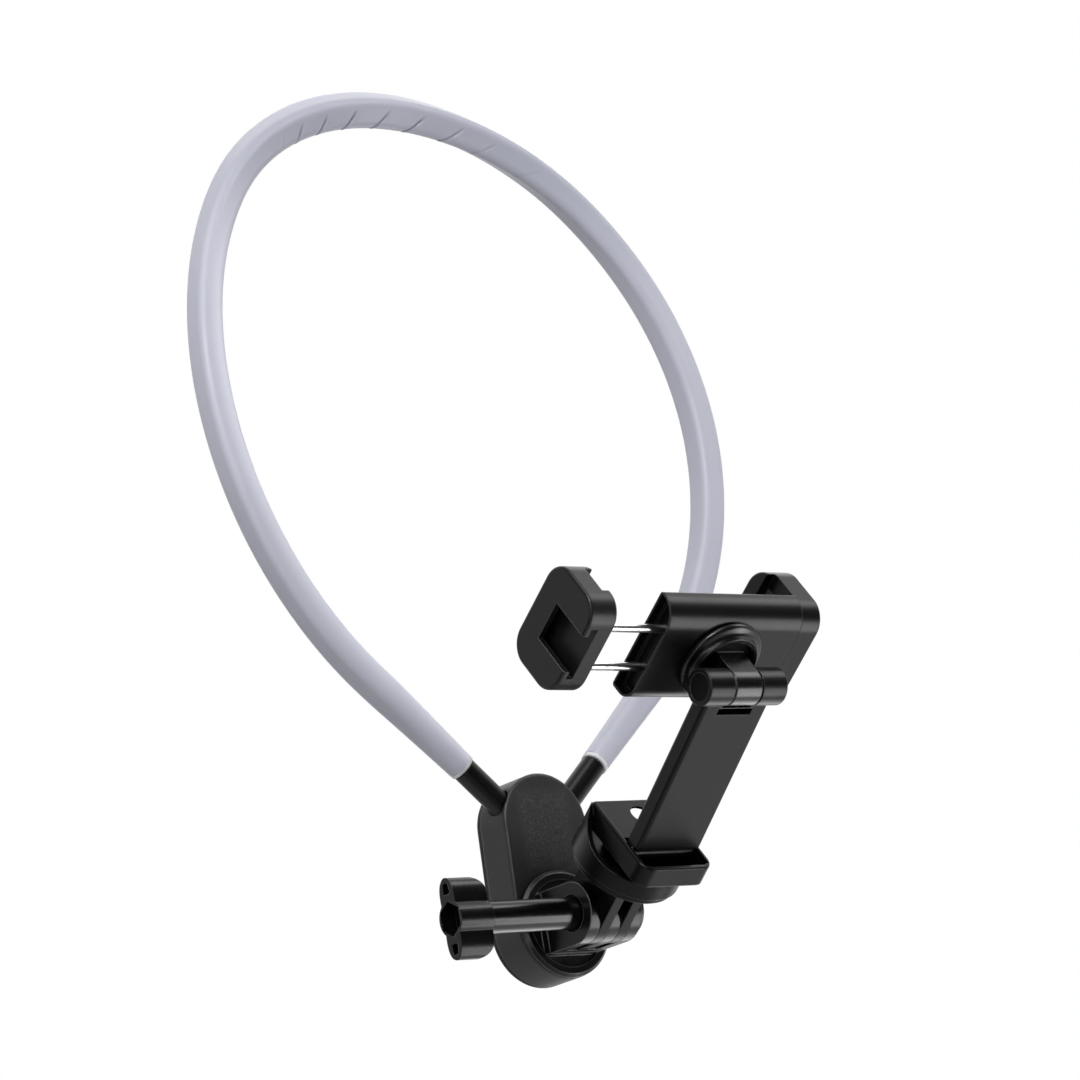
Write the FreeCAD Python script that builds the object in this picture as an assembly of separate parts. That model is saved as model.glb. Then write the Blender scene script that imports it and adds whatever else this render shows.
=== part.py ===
import FreeCAD, Part
import math
import os

# Neck phone holder: a bendable neck band carries a chest housing. A turntable on the housing
# holds a three-finger tilt knuckle, and above it a tray, a folding arm and a spring clamp.
# Millimetres. Each group is built upright in a frame of its own, with x to the right, y to the
# back and z up, and is then leaned into the worn pose.

Vec = FreeCAD.Vector
X_AXIS = Vec(1, 0, 0)
Y_AXIS = Vec(0, 1, 0)
Z_AXIS = Vec(0, 0, 1)

# Worn pose, degrees from upright
HOUSING_LEAN = 15.5
TILT_LEAN = 38.0
ARM_LEAN = 35.93
CLAMP_LEAN = 38.9
CLAMP_ROLL = 1.4

# Clearances
RUN_FIT = 0.08
THREAD_FIT = 0.02
FACE_GAP = 0.2
SWING_GAP = 0.5
CUT_PAST = 1.0

# Chest housing
HOUSING_DEPTH = 15.0
HOUSING_LOW_R = 16.3
HOUSING_LOW_Z = -13.4
HOUSING_TOP_R = 15.2
HOUSING_TOP_Z = 17.3
HOUSING_WALL = 1.8
FRONT_WALL = 2.2
FRONT_EDGE_R = 0.9
COVER_T = 2.6
COVER_EDGE_R = 1.6
COVER_LIP_H = 1.6
COVER_LIP_T = 1.2
COVER_SCREW_R = 1.0
COVER_SCREW_HEAD_R = 2.0
COVER_SCREW_LENGTH = 9.0
COVER_SCREW_HIGH_Z = 8.0
COVER_SCREW_LOW_Z = -22.0
COVER_SCREW_X = 9.6
COVER_SCREW_SLOT = 0.5
BOSS_WALL = 1.6

# Neck band and its ferrules
BAND_CROWN_R = 84.3
BAND_CROWN_TURN = 52.3
BAND_SIDE_R = 114.55
BAND_SIDE_TURN = 85.3
BAND_END_X = 13.799
BAND_END_Z = 25.486
BAND_FRONT = 10.4
BAND_TOE_OUT = 18.99
BAND_SETBACK = 38.95
BAND_WIDTH = 8.6
BAND_DEPTH = 9.4
BAND_CORNER_R = 2.5
BAND_END_D = 8.4
BAND_END_ROUND = 3.95
BAND_TAPER = 34.0
BAND_SPANS = 14
CORE_R = 2.0
CORE_FIT = 0.15
FERRULE_R = 3.8
FERRULE_CHAMFER = 0.4
FERRULE_SHOWN = 14.7
SOCKET_DEPTH = 7.0
SOCKET_WALL = 1.8
SOCKET_RELIEF = 0.4
SOCKET_RELIEF_DEPTH = 2.0

# Turntable and its three fingers
RING_R = 16.1
RING_H = 1.5
RING_BAND = 3.0
RING_RECESS = 0.6
RING_CHAMFER = 0.9
HUB_R = 6.0
WASHER_R = 8.4
WASHER_T = 1.0
HUB_SCREW_R = 1.4
HUB_SCREW_HEAD_R = 2.8
HUB_SCREW_HEAD_H = 1.6
HUB_SCREW_LENGTH = 6.0
HUB_SCREW_ROUND = 0.6
FOOT_HALF_X = 9.6
FOOT_HALF_Z = 9.4
FOOT_H = 2.0
FOOT_CORNER_R = 1.2
ROOT_BITE = 0.5
FINGER_T = 3.9
FINGER_SLOT = 3.6
KNUCKLE_R = 9.2
PIVOT_OUT = 14.6
NUT_ACROSS = 10.0
NUT_T = 4.0
NUT_BOSS_R = 7.4
NUT_BOSS_H = 2.2
STEM_SEAT_R = 5.4
STEM_SEAT_DEPTH = 1.0
BRACKET_FINGER_T = 3.4

# Thumb screw
BOLT_R = 3.0
STEM_R = 4.75
KNOB_START = 41.5
KNOB_LENGTH = 12.0
KNOB_HALF_HEIGHT = 12.0
KNOB_WING_T = 6.6
KNOB_BOSS_R = 5.3
KNOB_HEX_ACROSS = 9.0
KNOB_HEX_DEPTH = 5.4
KNOB_SHOULDER_R = 5.0
KNOB_SOCKET = 5.0
KNOB_TIP_T = 4.0
KNOB_TIP_RISE = 0.91
KNOB_LOBE_RISE = 0.58
KNOB_WAIST_T = 6.0
KNOB_POCKET_LOW = 0.6
KNOB_POCKET_HIGH = 0.86
KNOB_POCKET_W = 3.2
KNOB_POCKET_TIP_W = 2.2
KNOB_POCKET_R = 0.5
KNOB_POCKET_DEPTH = 5.0
BOLT_TIP = 0.8
BOLT_CHAMFER = 0.6

# Tilt bracket with its round flange
FLANGE_R = 15.9
FLANGE_BOTTOM = 17.2
FLANGE_T = 2.4
FLANGE_CHAMFER = 0.8
BLOCK_H = 1.6

# Tray moulded with the dish that turns on the flange
DISH_R = 16.8
DISH_FORWARD = 1.26
DISH_H = 5.4
DISH_FLOOR = 2.0
DISH_WALL = 1.7
DISH_EDGE_R = 0.5
TRAY_BOTTOM = 28.2
TRAY_H = 6.57
TRAY_FRONT = 21.43
TRAY_BACK = 9.65
TRAY_SIDE = 1.16
TRAY_PLATE = 1.2
TRAY_WALL = 1.0
TRAY_CORNER_R = 4.2
TRAY_BACK_CORNER_R = 1.6
TRAY_RIM = 0.4
TRAY_RIM_W = 1.2
TRAY_EDGE_R = 0.7
TRAY_HOLE_R = 3.6
TRAY_HOLE_X = 1.75
TRAY_HOLE_BACK = 3.3
TRAY_FLOOR_BACK = 3.0
DISH_GATE_LEFT = 1.0
DISH_GATE_RIGHT = 11.0
TRAY_FLOOR = 1.2
TRAY_STEM_R = 8.4
FAIRING_FRONT = -12.0
FAIRING_TOP = 8.6
PIVOT_SCREW_R = 2.0
PIVOT_SCREW_HEAD_R = 3.6
PIVOT_SCREW_HEAD_H = 1.6
PIVOT_SCREW_GRIP = 3.4
PIVOT_SCREW_ROUND = 0.5
HEAD_CLEAR = 0.3
HOLE_SPARE = 0.5

# Folding arm
ARM_T = 5.97
ARM_HALF_X = 11.59
ARM_FORWARD = 11.12
ARM_HINGE_RISE = 32.75
ARM_PIN_R = 1.25
ARM_PIN_COVER = 0.5
ARM_NOTCH = 2.2
ARM_NOTCH_SIDE = 1.0
ARM_EDGE_R = 1.2
ARM_SHOULDER = 3.0
ARM_FOOT_R = 2.1
ARM_FOOT_FRONT = 0.3
ARM_SLOT_BACK = 4.4
ARM_SLOT_FRONT = 8.5

# Barrel hinge at the arm's top
BARREL_R = 5.46
ARM_REACH = 58.8
BARREL_HALF = 14.17
BARREL_MIDDLE = 4.85
BARREL_SEAM = 0.35
BARREL_EDGE = 0.3
BARREL_PIN_R = 2.0
BARREL_CAP_R = 4.0
BARREL_CAP_T = 1.4
BARREL_CAP_SUNK = 0.2

# Swivel disc behind the barrel
CLAMP_BACK_OFF = 11.2
CLAMP_RISE = 0.9
SWIVEL_R = 13.2
SWIVEL_STEP_R = 10.3
SWIVEL_H = 3.8
SWIVEL_RIM_H = 1.5
SWIVEL_NECK_R = 11.0
SWIVEL_NECK_H = 2.2
SWIVEL_NECK_ROUND = 1.4
SWIVEL_SMALL_R = 0.3
SWIVEL_FLOOR_H = 2.4
SWIVEL_EDGE_R = 1.0
SWIVEL_RING = 1.4
TONGUE_DROP = 3.2
SWIVEL_HUB_R = 3.4
SWIVEL_WASHER_R = 3.9
SWIVEL_WASHER_T = 0.8
SWIVEL_SCREW_R = 1.2
SWIVEL_HEAD_R = 2.2
SWIVEL_HEAD_H = 1.3
SWIVEL_SCREW_LENGTH = 5.0

# Clamp body
CLAMP_HALF_X = 24.6
CLAMP_HALF_Z = 16.95
CLAMP_T = 9.0
CLAMP_WALL = 1.5
CLAMP_TOP_R = 7.2
CLAMP_LOW_R = 5.2
CLAMP_BACK_R = 1.0
CLAMP_INNER_R = 0.2
CLAMP_MOUTH_WALL = 0.6
CLAMP_MOUTH_DEPTH = 3.0
GUIDE_INSET = 3.4
GUIDE_LENGTH = 5.7

# Jaws
JAW_HALF_Z = 16.5
JAW_FRONT = 8.2
JAW_BACK = 15.2
JAW_CORNER_R = 7.2
JAW_EDGE_R = 0.8
MOVING_JAW_T = 9.7
FIXED_JAW_T = 7.4
GRIP_DEPTH = 3.0
GRIP_WIDTH = 9.9
FIXED_LIP = 3.0
PLUG_LENGTH = 2.3
PLUG_BITE = 0.6
PAD_T = 1.2
PAD_HALF_Z = 11.4
PAD_INSET = 0.6
JAW_GAP = 18.5
SHOE_WINDOW = 12.6
SHOE_SLOT = 17.7
SHOE_LIP = 1.9
SHOE_SLOT_H = 2.4
SHOE_BACK = 6.85
BACK_PAD_T = 0.8
BACK_PAD_HALF_X = 19.0
BACK_PAD_HALF_Z = 11.9

# Guide rods with their springs
ROD_R = 1.25
ROD_SPREAD = 6.9
ROD_ANCHOR = 4.6
ROD_END_X = 8.0
STOP_R = 2.2
STOP_T = 2.0
SPRING_R = 1.95
SPRING_WIRE = 0.5
SPRING_TURNS = 9


def polygon_wire(points, radii):
    """Closed wire through points, with each corner rounded by its radius."""
    count = len(points)
    arcs = []
    for index, corner in enumerate(points):
        to_last = (points[index - 1] - corner).normalize()
        to_next = (points[(index + 1) % count] - corner).normalize()
        half = to_last.getAngle(to_next) / 2
        reach = radii[index] / math.tan(half)
        bisector = (to_last + to_next).normalize()
        middle = corner + bisector * (radii[index] / math.sin(half) - radii[index])
        arcs.append((corner + to_last * reach, middle, corner + to_next * reach))
    edges = []
    for index, (start, middle, end) in enumerate(arcs):
        if radii[index] > 0:
            edges.append(Part.Arc(start, middle, end).toShape())
        following = arcs[(index + 1) % count][0]
        if end.distanceToPoint(following) > 1e-6:
            edges.append(Part.LineSegment(end, following).toShape())
    return Part.Wire(edges)


def rounded_prism(points, radii, sweep):
    return Part.Face(polygon_wire(points, radii)).extrude(sweep)


def box(x0, x1, y0, y1, z0, z1):
    return Part.makeBox(x1 - x0, y1 - y0, z1 - z0, Vec(x0, y0, z0))


def rod(radius, start, end):
    span = end - start
    return Part.makeCylinder(radius, span.Length, start, span)


def hexagon(across, start, end):
    """Six-sided prism along x from start to end."""
    corner = across / math.sqrt(3)
    points = []
    for index in range(7):
        angle = math.radians(60 * index + 30)
        points.append(start + Vec(0, corner * math.cos(angle), corner * math.sin(angle)))
    return Part.Face(Part.makePolygon(points)).extrude(end - start)


def edges_where(shape, test):
    return [edge for edge in shape.Edges if test(edge)]


def flat_at(edge, axis, value):
    box_ = edge.BoundBox
    low, high = ((box_.XMin, box_.XMax), (box_.YMin, box_.YMax), (box_.ZMin, box_.ZMax))[axis]
    return abs(low - value) < 1e-4 and abs(high - value) < 1e-4


def mirrored(shape):
    return shape.mirror(Vec(0, 0, 0), X_AXIS)


# Places worked out from the sizes above
front_y = -HOUSING_DEPTH
ring_back_y = front_y - FACE_GAP
ring_front_y = ring_back_y - RING_H
pivot_y = ring_front_y - PIVOT_OUT
hub_end_y = front_y + FRONT_WALL + FACE_GAP
finger_outer_x = 1.5 * FINGER_T + FINGER_SLOT
bolt_reach = 2 * finger_outer_x
flange_top = FLANGE_BOTTOM + FLANGE_T
dish_bottom = flange_top + FACE_GAP
dish_top = dish_bottom + DISH_H
dish_floor = dish_bottom + DISH_FLOOR
tray_top = TRAY_BOTTOM + TRAY_H
tray_half_x = ARM_HALF_X + FACE_GAP + TRAY_SIDE
dish_axis = Vec(0, -DISH_FORWARD, 0)
clamp_front_y = CLAMP_BACK_OFF
clamp_back_y = clamp_front_y + CLAMP_T
jaw_front_y = clamp_back_y - JAW_FRONT
jaw_back_y = clamp_back_y + JAW_BACK
jaw_inner_x = -CLAMP_HALF_X - JAW_GAP
jaw_outer_x = jaw_inner_x - MOVING_JAW_T
rod_y = clamp_front_y + CLAMP_T / 2
guide_start_x = -CLAMP_HALF_X + GUIDE_INSET
guide_end_x = guide_start_x + GUIDE_LENGTH
past_jaw = 2 * JAW_HALF_Z

housing_frame = FreeCAD.Placement(Vec(0, 0, 0), FreeCAD.Rotation(X_AXIS, -HOUSING_LEAN))
pivot_point = housing_frame.multVec(Vec(0, pivot_y, HOUSING_LOW_Z))
tilt_frame = FreeCAD.Placement(pivot_point, FreeCAD.Rotation(X_AXIS, TILT_LEAN))
hinge_point = tilt_frame.multVec(Vec(0, -ARM_FORWARD, ARM_HINGE_RISE))
arm_frame = FreeCAD.Placement(hinge_point, FreeCAD.Rotation(X_AXIS, ARM_LEAN))
barrel_point = arm_frame.multVec(Vec(0, 0, ARM_REACH))
screw_frame = FreeCAD.Placement(pivot_point, FreeCAD.Rotation(X_AXIS, -HOUSING_LEAN))
clamp_frame = FreeCAD.Placement(barrel_point, FreeCAD.Rotation(X_AXIS, CLAMP_LEAN))
swivel_roll = FreeCAD.Placement(Vec(0, 0, 0), FreeCAD.Rotation(Y_AXIS, CLAMP_ROLL), Vec(0, 0, CLAMP_RISE))
grip_frame = clamp_frame.multiply(swivel_roll)


def egg_prism(inset, y_back, y_front):
    """Housing outline: a wide low round and a narrower top round joined by tangents."""
    low_r = HOUSING_LOW_R - inset
    top_r = HOUSING_TOP_R - inset
    lean = math.asin((low_r - top_r) / (HOUSING_TOP_Z - HOUSING_LOW_Z))
    side = Vec(math.cos(lean), 0, math.sin(lean))
    low = Vec(0, y_back, HOUSING_LOW_Z)
    top = Vec(0, y_back, HOUSING_TOP_Z)
    flip = Vec(-side.x, 0, side.z)
    edges = [
        Part.LineSegment(low + side * low_r, top + side * top_r),
        Part.Arc(top + side * top_r, top + Z_AXIS * top_r, top + flip * top_r),
        Part.LineSegment(top + flip * top_r, low + flip * low_r),
        Part.Arc(low + flip * low_r, low - Z_AXIS * low_r, low + side * low_r),
    ]
    outline = Part.Wire([edge.toShape() for edge in edges])
    return Part.Face(outline).extrude(Vec(0, y_front - y_back, 0))


crown_run = BAND_CROWN_R * math.radians(BAND_CROWN_TURN)
side_run = BAND_SIDE_R * math.radians(BAND_SIDE_TURN)


def band_plan(distance):
    """Half width and drop from the crown at a distance along the band's front outline."""
    first = min(distance, crown_run) / BAND_CROWN_R
    turn = first + min(max(distance - crown_run, 0), side_run) / BAND_SIDE_R
    straight = max(distance - crown_run - side_run, 0)
    x = BAND_CROWN_R * math.sin(first) + BAND_SIDE_R * (math.sin(turn) - math.sin(first))
    drop = BAND_CROWN_R * (1 - math.cos(first)) + BAND_SIDE_R * (math.cos(first) - math.cos(turn))
    return x + straight * math.cos(turn), drop + straight * math.sin(turn)


# The straight tail is as long as it takes to reach the housing's socket
arcs_x = band_plan(crown_run + side_run)[0]
band_tail = (BAND_END_X - arcs_x) / math.cos(math.radians(BAND_CROWN_TURN + BAND_SIDE_TURN))
band_half = crown_run + side_run + band_tail
band_rise = band_plan(band_half)[1]


def band_point(distance):
    """Middle of the band in the housing frame. A minus distance is on the left-hand half."""
    x, drop = band_plan(abs(distance))
    share = 1 - drop / band_rise
    front = BAND_FRONT + BAND_TOE_OUT * share - BAND_SETBACK * share * share
    return Vec(math.copysign(x, distance), -front, BAND_END_Z + band_rise - drop)


def band_direction(distance):
    step = CORE_FIT / 2
    return (band_point(distance + step) - band_point(distance - step)).normalize()


ferrule_axis = band_direction(band_half - FERRULE_SHOWN / 2) * -1
sleeve_end = band_half - FERRULE_SHOWN
ferrule_mouth = band_point(sleeve_end)
core_reach = sleeve_end + FERRULE_SHOWN / 2
ferrule_length = FERRULE_SHOWN + SOCKET_DEPTH


def band_section(distance, width, depth, corner):
    along = band_direction(distance)
    front = Vec(0, -1, 0)
    front = (front - along * front.dot(along)).normalize()
    out = front.cross(along)
    middle = band_point(distance)
    half_w = width / 2
    half_d = depth / 2
    points = [middle + out * (sx * half_w) + front * (sy * half_d)
              for sx, sy in ((1, 1), (-1, 1), (-1, -1), (1, -1))]
    return polygon_wire(points, [corner] * 4)


def band_stations():
    """Distances of the sleeve's sections, closer together along its tapered ends."""
    straight = sleeve_end - BAND_TAPER
    inner = [straight * index / BAND_SPANS for index in range(-BAND_SPANS, BAND_SPANS + 1)]
    ends = [straight + BAND_TAPER * share for share in (0.5, 1.0)]
    return [-value for value in reversed(ends)] + inner + ends


def band_sleeve():
    wires = []
    for distance in band_stations():
        taper = min(max((abs(distance) - sleeve_end + BAND_TAPER) / BAND_TAPER, 0), 1)
        width = BAND_WIDTH + (BAND_END_D - BAND_WIDTH) * taper
        depth = BAND_DEPTH + (BAND_END_D - BAND_DEPTH) * taper
        corner = BAND_CORNER_R + (BAND_END_ROUND - BAND_CORNER_R) * taper
        wires.append(band_section(distance, width, depth, corner))
    return Part.makeLoft(wires, True, False).cut(core_loft(CORE_R))


def core_loft(radius):
    count = 2 * BAND_SPANS
    wires = []
    for index in range(-count, count + 1):
        distance = core_reach * index / count
        circle = Part.makeCircle(radius, band_point(distance), band_direction(distance))
        wires.append(Part.Wire([circle]))
    return Part.makeLoft(wires, True, False)


def gooseneck_core():
    return core_loft(CORE_R - THREAD_FIT)


def ferrule():
    """Right-hand ferrule: a turned cup that takes the core and seats in the housing's socket."""
    end = ferrule_mouth + ferrule_axis * -ferrule_length
    body = rod(FERRULE_R, ferrule_mouth, end)
    rim = edges_where(body, lambda edge: len(edge.Vertexes) == 1)
    body = body.makeChamfer(FERRULE_CHAMFER, rim)
    return body.cut(core_loft(CORE_R + CORE_FIT))


def socket_axis_rod(radius, outside):
    seat = ferrule_mouth + ferrule_axis * -(ferrule_length + THREAD_FIT)
    return rod(radius, seat, ferrule_mouth + ferrule_axis * outside)


def cover_screw_places():
    places = []
    for z in (COVER_SCREW_HIGH_Z, COVER_SCREW_LOW_Z):
        for x in (-COVER_SCREW_X, COVER_SCREW_X):
            places.append(Vec(x, 0, z))
    return places


def housing_front_shell():
    outer = egg_prism(0, -COVER_T, front_y)
    rim = edges_where(outer, lambda edge: flat_at(edge, 1, front_y))
    outer = outer.makeFillet(FRONT_EDGE_R, rim)
    cavity_end = front_y + FRONT_WALL
    shell = outer.cut(egg_prism(HOUSING_WALL, -COVER_T, cavity_end))
    for place in cover_screw_places():
        boss = rod(COVER_SCREW_R + BOSS_WALL, place + Y_AXIS * -(COVER_T + COVER_LIP_H),
                   place + Y_AXIS * cavity_end)
        shell = shell.fuse(boss)
    right = socket_axis_rod(FERRULE_R + SOCKET_WALL, ferrule_length)
    right = right.fuse(rod(FERRULE_R + SOCKET_WALL, ferrule_mouth - ferrule_axis * ferrule_length,
                           ferrule_mouth - ferrule_axis * (ferrule_length + SOCKET_WALL)))
    for side in (right, mirrored(right)):
        shell = shell.fuse(side.common(outer))
    bore = socket_axis_rod(FERRULE_R + THREAD_FIT, ferrule_length)
    relief_end = ferrule_mouth - ferrule_axis * (FERRULE_SHOWN + SOCKET_RELIEF_DEPTH)
    bore = bore.fuse(rod(FERRULE_R + SOCKET_RELIEF, relief_end, ferrule_mouth))
    for side in (bore, mirrored(bore)):
        shell = shell.cut(side)
    for place in cover_screw_places():
        pilot = rod(COVER_SCREW_R + THREAD_FIT, place, place + Y_AXIS * -(COVER_SCREW_LENGTH + HOLE_SPARE))
        shell = shell.cut(pilot)
    centre = Vec(0, 0, HOUSING_LOW_Z)
    shell = shell.cut(rod(HUB_R + RUN_FIT, centre, centre + Y_AXIS * (2 * front_y)))
    return shell.removeSplitter()


def housing_back_cover():
    plate = egg_prism(0, 0, -COVER_T)
    rim = edges_where(plate, lambda edge: flat_at(edge, 1, 0))
    plate = plate.makeFillet(COVER_EDGE_R, rim)
    lip = egg_prism(HOUSING_WALL + FACE_GAP, -COVER_T, -COVER_T - COVER_LIP_H)
    lip = lip.cut(egg_prism(HOUSING_WALL + FACE_GAP + COVER_LIP_T, -COVER_T, -COVER_T - COVER_LIP_H))
    socket = socket_axis_rod(FERRULE_R + SOCKET_WALL + FACE_GAP, ferrule_length)
    for side in (socket, mirrored(socket)):
        lip = lip.cut(side)
    for place in cover_screw_places():
        lip = lip.cut(rod(COVER_SCREW_R + BOSS_WALL + FACE_GAP, place, place + Y_AXIS * front_y))
    cover = plate.fuse(lip)
    for place in cover_screw_places():
        cover = cover.cut(cover_screw(place, THREAD_FIT, 0))
    return cover.removeSplitter()


def cover_screw(place, grow, slot):
    """Countersunk screw, head flush with the chest face. grow makes the matching hole."""
    head_h = COVER_SCREW_HEAD_R - COVER_SCREW_R
    cone = Part.makeCone(COVER_SCREW_HEAD_R + grow, COVER_SCREW_R + grow, head_h, place, Y_AXIS * -1)
    shank = rod(COVER_SCREW_R + grow, place, place + Y_AXIS * -COVER_SCREW_LENGTH)
    screw = cone.fuse(shank)
    if slot:
        screw = screw.cut(box(place.x - COVER_SCREW_HEAD_R, place.x + COVER_SCREW_HEAD_R, -slot, CUT_PAST,
                              place.z - slot / 2, place.z + slot / 2))
    return screw.removeSplitter()


def cover_screws():
    return Part.makeCompound([cover_screw(place, 0, COVER_SCREW_SLOT) for place in cover_screw_places()])


def finger(x0, x1):
    """One finger of the three: straight flanks on the foot and a round knuckle end."""
    root = ring_front_y - FOOT_H + ROOT_BITE
    pivot = Vec(x0, pivot_y, HOUSING_LOW_Z)
    flank = box(x0, x1, pivot_y, root, HOUSING_LOW_Z - KNUCKLE_R, HOUSING_LOW_Z + KNUCKLE_R)
    return flank.fuse(rod(KNUCKLE_R, pivot, pivot + X_AXIS * (x1 - x0)))


def turntable():
    centre = Vec(0, 0, HOUSING_LOW_Z)
    ring = rod(RING_R, centre + Y_AXIS * ring_back_y, centre + Y_AXIS * ring_front_y)
    rim = edges_where(ring, lambda edge: flat_at(edge, 1, ring_front_y))
    ring = ring.makeChamfer(RING_CHAMFER, rim)
    well = rod(RING_R - RING_BAND, centre + Y_AXIS * ring_front_y,
               centre + Y_AXIS * (ring_front_y + RING_RECESS))
    ring = ring.cut(well)
    corners = [Vec(sx * FOOT_HALF_X, ring_front_y + RING_RECESS, HOUSING_LOW_Z + sz * FOOT_HALF_Z)
               for sx, sz in ((1, 1), (-1, 1), (-1, -1), (1, -1))]
    foot = rounded_prism(corners, [FOOT_CORNER_R] * 4, Y_AXIS * -(FOOT_H + RING_RECESS))
    table = ring.fuse(foot)
    pitch = FINGER_T + FINGER_SLOT
    for middle in (-pitch, 0, pitch):
        table = table.fuse(finger(middle - FINGER_T / 2, middle + FINGER_T / 2))
    web = box(-finger_outer_x, finger_outer_x, pivot_y + KNUCKLE_R + SWING_GAP, ring_front_y,
              HOUSING_LOW_Z - KNUCKLE_R, HOUSING_LOW_Z + KNUCKLE_R)
    table = table.fuse(web)
    pivot = Vec(0, pivot_y, HOUSING_LOW_Z)
    face = pivot + X_AXIS * finger_outer_x
    boss = rod(NUT_BOSS_R, face, face + X_AXIS * NUT_BOSS_H)
    table = table.fuse(boss)
    nut_seat = face + X_AXIS * (NUT_BOSS_H - NUT_T)
    table = table.cut(hexagon(NUT_ACROSS + 2 * THREAD_FIT, nut_seat, nut_seat + X_AXIS * (2 * NUT_T)))
    table = table.cut(rod(BOLT_R + RUN_FIT, pivot - X_AXIS * bolt_reach, pivot + X_AXIS * bolt_reach))
    stem_face = pivot - X_AXIS * finger_outer_x
    table = table.cut(rod(STEM_SEAT_R, stem_face - X_AXIS, stem_face + X_AXIS * STEM_SEAT_DEPTH))
    hub = rod(HUB_R, centre + Y_AXIS * hub_end_y, centre + Y_AXIS * ring_front_y)
    table = table.fuse(hub)
    table = table.cut(rod(HUB_SCREW_R + THREAD_FIT, centre + Y_AXIS * hub_end_y,
                          centre + Y_AXIS * (hub_end_y - HUB_SCREW_LENGTH - HOLE_SPARE)))
    return table.removeSplitter()


def turntable_washer():
    centre = Vec(0, hub_end_y, HOUSING_LOW_Z)
    disc = rod(WASHER_R, centre, centre + Y_AXIS * WASHER_T)
    return disc.cut(rod(HUB_SCREW_R + THREAD_FIT, centre, centre + Y_AXIS * WASHER_T))


def turntable_screw():
    seat = Vec(0, hub_end_y + WASHER_T, HOUSING_LOW_Z)
    head = rod(HUB_SCREW_HEAD_R, seat, seat + Y_AXIS * HUB_SCREW_HEAD_H)
    rim = edges_where(head, lambda edge: flat_at(edge, 1, seat.y + HUB_SCREW_HEAD_H))
    head = head.makeFillet(HUB_SCREW_ROUND, rim)
    return head.fuse(rod(HUB_SCREW_R, seat, seat - Y_AXIS * (HUB_SCREW_LENGTH + WASHER_T))).removeSplitter()


def captive_nut():
    start = Vec(finger_outer_x + NUT_BOSS_H - NUT_T, pivot_y, HOUSING_LOW_Z)
    nut = hexagon(NUT_ACROSS, start, start + X_AXIS * NUT_T)
    return nut.cut(rod(BOLT_R + RUN_FIT, start, start + X_AXIS * NUT_T))


def knob_outline(x):
    """End view of the two wings, a lobe up and a lobe down from a narrower waist."""
    tip = KNOB_HALF_HEIGHT
    quarter = [
        (KNOB_WAIST_T / 2, 0),
        (KNOB_WING_T / 2, KNOB_LOBE_RISE * tip),
        (KNOB_TIP_T / 2, KNOB_TIP_RISE * tip),
    ]
    right = [Vec(x, y, -z) for y, z in reversed(quarter[1:])] + [Vec(x, y, z) for y, z in quarter]
    left = [Vec(x, -point.y, -point.z) for point in right]
    curve = Part.BSplineCurve()
    curve.interpolate([Vec(x, 0, -tip)] + right + [Vec(x, 0, tip)] + left, True)
    return Part.Wire([curve.toShape()])


def thumb_knob():
    inner = -KNOB_START
    outer = inner - KNOB_LENGTH
    wings = Part.Face(knob_outline(inner)).extrude(X_AXIS * -KNOB_LENGTH)
    tip = KNOB_HALF_HEIGHT
    side = [Vec(outer, -tip, tip), Vec(outer, -tip, -tip), Vec(inner, -tip, -tip), Vec(inner, -tip, tip)]
    shoulders = rounded_prism(side, [0, 0, KNOB_SHOULDER_R, KNOB_SHOULDER_R], Y_AXIS * (2 * tip))
    boss = rod(KNOB_BOSS_R, Vec(inner, 0, 0), Vec(outer, 0, 0))
    knob = wings.common(shoulders).fuse(boss)
    hex_end = Vec(outer, 0, 0)
    knob = knob.cut(hexagon(KNOB_HEX_ACROSS, hex_end + X_AXIS * KNOB_HEX_DEPTH, hex_end - X_AXIS))
    wide = KNOB_POCKET_W / 2
    slim = KNOB_POCKET_TIP_W / 2
    for side in (-1, 1):
        low = KNOB_POCKET_LOW * tip * side
        high = KNOB_POCKET_HIGH * tip * side
        corners = [Vec(outer, -wide, low), Vec(outer, wide, low), Vec(outer, slim, high), Vec(outer, -slim, high)]
        knob = knob.cut(rounded_prism(corners, [KNOB_POCKET_R] * 4, X_AXIS * KNOB_POCKET_DEPTH))
    bolt_end = Vec(inner - KNOB_SOCKET - THREAD_FIT, 0, 0)
    knob = knob.cut(rod(BOLT_R + THREAD_FIT, bolt_end, Vec(inner, 0, 0)))
    return knob.removeSplitter()


def thumb_bolt():
    seat = -finger_outer_x + STEM_SEAT_DEPTH - FACE_GAP
    stem = rod(STEM_R, Vec(-KNOB_START + THREAD_FIT, 0, 0), Vec(seat, 0, 0))
    tip = finger_outer_x + NUT_BOSS_H + BOLT_TIP
    bolt = rod(BOLT_R, Vec(-KNOB_START - KNOB_SOCKET, 0, 0), Vec(tip, 0, 0))
    rim = edges_where(bolt, lambda edge: flat_at(edge, 0, tip))
    return stem.fuse(bolt.makeChamfer(BOLT_CHAMFER, rim)).removeSplitter()


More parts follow.
